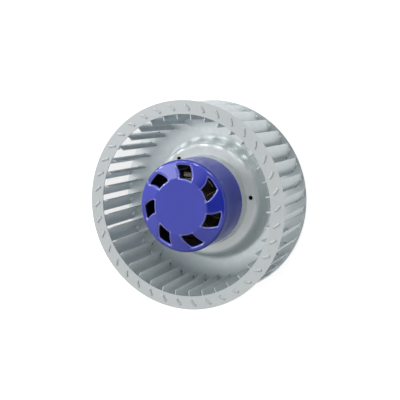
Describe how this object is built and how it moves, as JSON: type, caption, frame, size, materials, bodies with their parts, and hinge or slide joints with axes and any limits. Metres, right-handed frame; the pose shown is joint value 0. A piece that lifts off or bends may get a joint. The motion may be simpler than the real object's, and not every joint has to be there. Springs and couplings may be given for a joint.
{
  "type": "centrifugal fan",
  "caption": "Forward-curved centrifugal impeller of galvanised sheet steel on a blue external-rotor motor with a cast mounting flange.",
  "frame": {"origin": "centre of the flange's face that is bolted down, on which the fan also stands", "axes": "+Z along the shaft towards the air inlet; +X and +Y are the right and the top of the picture"},
  "size_m": [0.225, 0.225, 0.104],
  "materials": {
    "galvanised_sheet": "satin galvanised sheet",
    "rotor_paint": "glossy blue paint",
    "turned_aluminium": "turned",
    "core_laminations": "stacked laminations",
    "cage_aluminium": "die cast",
    "ground_steel": "ground",
    "spring_steel": "blackened spring steel",
    "cast_aluminium": "die cast, unpainted",
    "plug_steel": "zinc plated",
    "sintered_bronze": "sintered",
    "oil_felt": "oiled felt",
    "washer_plastic": "matte",
    "winding_wire": "varnished copper wire",
    "insulating_sheet": "matte",
    "cutout_sleeve": "varnished sleeve",
    "grommet_rubber": "black rubber"
  },
  "bodies": {
    "stator": {"mounting_flange": "cast_aluminium", "rear_plug": "plug_steel", "rear_bush": "sintered_bronze", "front_bush": "sintered_bronze", "oil_felt": "oil_felt", "rear_thrust_washer": "washer_plastic", "front_thrust_washer": "washer_plastic", "stator_core": "core_laminations", "stator_winding": "winding_wire", "front_insulator": "insulating_sheet", "rear_insulator": "insulating_sheet", "thermal_cutout": "cutout_sleeve", "cable_grommet": "grommet_rubber"},
    "rotor": {"blade_01": "galvanised_sheet", "blade_02": "galvanised_sheet", "blade_03": "galvanised_sheet", "blade_04": "galvanised_sheet", "blade_05": "galvanised_sheet", "blade_06": "galvanised_sheet", "blade_07": "galvanised_sheet", "blade_08": "galvanised_sheet", "blade_09": "galvanised_sheet", "blade_10": "galvanised_sheet", "blade_11": "galvanised_sheet", "blade_12": "galvanised_sheet", "blade_13": "galvanised_sheet", "blade_14": "galvanised_sheet", "blade_15": "galvanised_sheet", "blade_16": "galvanised_sheet", "blade_17": "galvanised_sheet", "blade_18": "galvanised_sheet", "blade_19": "galvanised_sheet", "blade_20": "galvanised_sheet", "blade_21": "galvanised_sheet", "blade_22": "galvanised_sheet", "blade_23": "galvanised_sheet", "blade_24": "galvanised_sheet", "blade_25": "galvanised_sheet", "blade_26": "galvanised_sheet", "blade_27": "galvanised_sheet", "blade_28": "galvanised_sheet", "blade_29": "galvanised_sheet", "blade_30": "galvanised_sheet", "blade_31": "galvanised_sheet", "blade_32": "galvanised_sheet", "blade_33": "galvanised_sheet", "blade_34": "galvanised_sheet", "blade_35": "galvanised_sheet", "blade_36": "galvanised_sheet", "blade_37": "galvanised_sheet", "blade_38": "galvanised_sheet", "inlet_ring": "galvanised_sheet", "back_disc": "galvanised_sheet", "rotor_housing": "rotor_paint", "rotor_boss": "turned_aluminium", "rotor_core": "core_laminations", "rotor_cage": "cage_aluminium", "shaft": "ground_steel", "circlip": "spring_steel"}
  },
  "joints": [
    {"name": "rotor_spin", "type": "hinge", "parent": "stator", "child": "rotor", "pos_m": [0, 0, 0], "axis": [0, 0, 1], "continuous": true}
  ]
}
